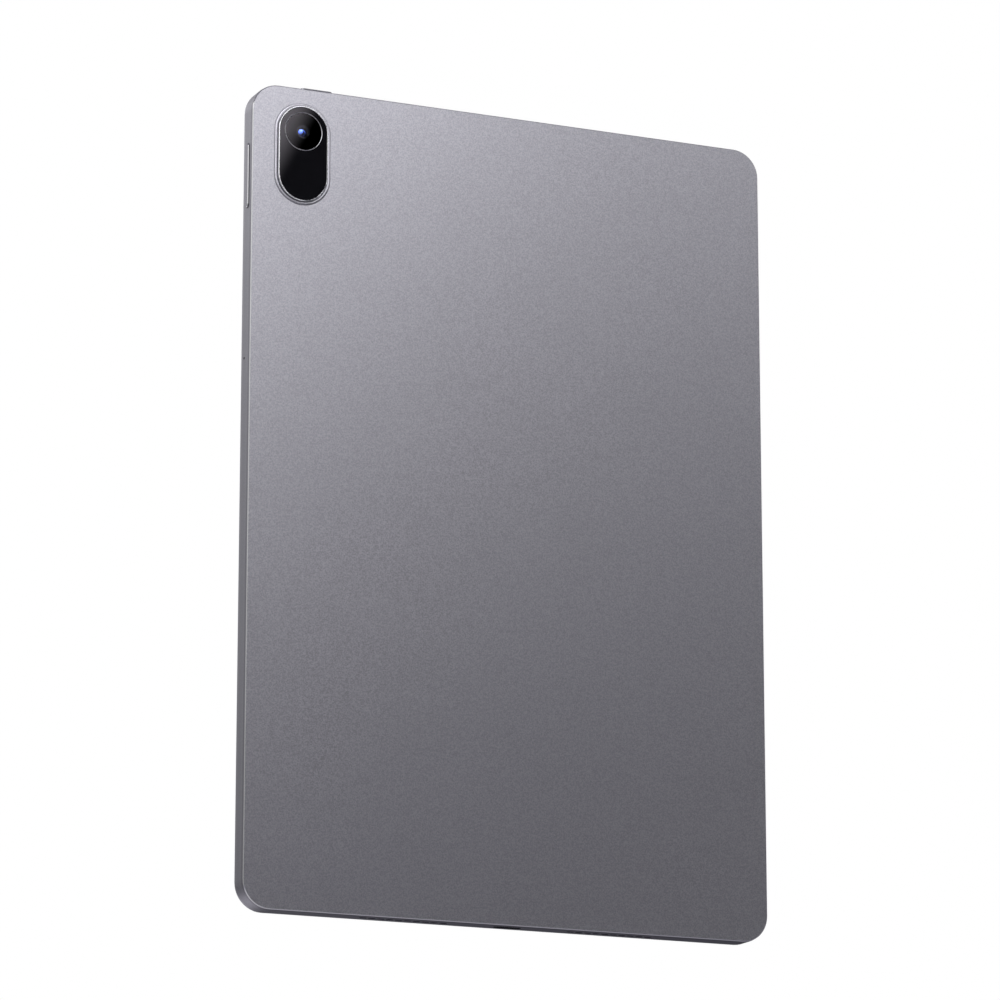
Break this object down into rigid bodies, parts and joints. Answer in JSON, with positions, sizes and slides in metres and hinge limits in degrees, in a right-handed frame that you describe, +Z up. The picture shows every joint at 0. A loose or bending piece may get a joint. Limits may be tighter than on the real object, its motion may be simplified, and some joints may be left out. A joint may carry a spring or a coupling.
{
  "type": "tablet computer",
  "caption": "Slim metal tablet computer, portrait, with a pill-shaped rear camera island, sprung power and volume keys, speaker grilles and a USB-C socket; screen on the -Y face.",
  "frame": {"origin": "middle of the bottom edge, halfway through the thickness", "axes": "+Z up the tablet's height in portrait, -Y out of the screen, +Y out of the metal back, +X towards the side with the power key"},
  "size_m": [0.1775, 0.0084, 0.2621],
  "materials": {
    "anodised_aluminium": "matte bead-blasted and anodised",
    "key_aluminium": "matte bead-blasted and anodised, with a polished edge",
    "polished_metal": "polished",
    "satin_metal": "satin",
    "black_glass": "polished glass printed black underneath",
    "screen_glass": "polished glass with a black printed border",
    "clear_glass": "polished and coated",
    "coated_lens": "polished, blue anti-reflection coating",
    "black_plastic": "fine texture",
    "black_foam": "matte",
    "display_film": "smooth film",
    "backlight_film": "white reflector and light-guide films",
    "bright_steel": "stamped and plated",
    "flex_circuit": "polyimide film",
    "circuit_board": "solder mask",
    "chip_package": "moulded epoxy",
    "thermal_gel": "soft silicone",
    "battery_pouch": "laminated foil pouch",
    "adhesive_tape": "stretch-release tape",
    "graphite": "graphite film",
    "black_mesh": "woven acoustic mesh"
  },
  "bodies": {
    "body": {"rear_housing": "anodised_aluminium", "mid_frame": "black_plastic", "cover_glass": "screen_glass", "display_adhesive": "black_foam", "display_panel": "display_film", "backlight_unit": "backlight_film", "display_flex": "flex_circuit", "camera_ring": "polished_metal", "camera_glass": "black_glass", "lens_trim_ring": "satin_metal", "lens_cover": "clear_glass", "lens_baffle": "black_foam", "rear_camera_module": "black_plastic", "rear_lens": "coated_lens", "front_camera_module": "black_plastic", "front_camera_lens": "coated_lens", "light_sensor": "black_plastic", "power_switch": "flex_circuit", "power_key_bracket": "bright_steel", "volume_switch": "flex_circuit", "volume_key_bracket": "bright_steel", "usb_c_shell": "bright_steel", "usb_c_tongue": "black_plastic", "usb_board": "circuit_board", "main_board": "circuit_board", "processor_chip": "chip_package", "memory_chip": "chip_package", "power_chip": "chip_package", "thermal_pad": "thermal_gel", "processor_shield": "bright_steel", "power_shield": "bright_steel", "board_flex": "flex_circuit", "battery_cell_left": "battery_pouch", "battery_cell_right": "battery_pouch", "battery_board": "flex_circuit", "battery_adhesive": "adhesive_tape", "graphite_sheet": "graphite", "speaker_top_left": "black_plastic", "speaker_top_right": "black_plastic", "speaker_bottom_left": "black_plastic", "speaker_bottom_right": "black_plastic", "speaker_meshes": "black_mesh", "microphone": "bright_steel", "microphone_boot": "black_foam", "wifi_antenna_top": "black_plastic", "wifi_antenna_bottom": "black_plastic", "antenna_cable": "black_plastic", "board_screws": "bright_steel"},
    "power_button": {"power_key": "key_aluminium"},
    "volume_rocker": {"volume_key": "key_aluminium"}
  },
  "joints": [
    {"name": "power_press", "type": "slide", "parent": "body", "child": "power_button", "axis": [-1, 0, 0], "range_m": [0, 0.0003], "stiffness_N_per_m": 6000, "springref_m": -0.00005},
    {"name": "volume_rock", "type": "hinge", "parent": "body", "child": "volume_rocker", "pos_m": [0.0659, 0.0003, 0.2583], "axis": [0, 1, 0], "range_deg": [-2.5, 2.5], "stiffness_Nm_per_rad": 0.05}
  ]
}
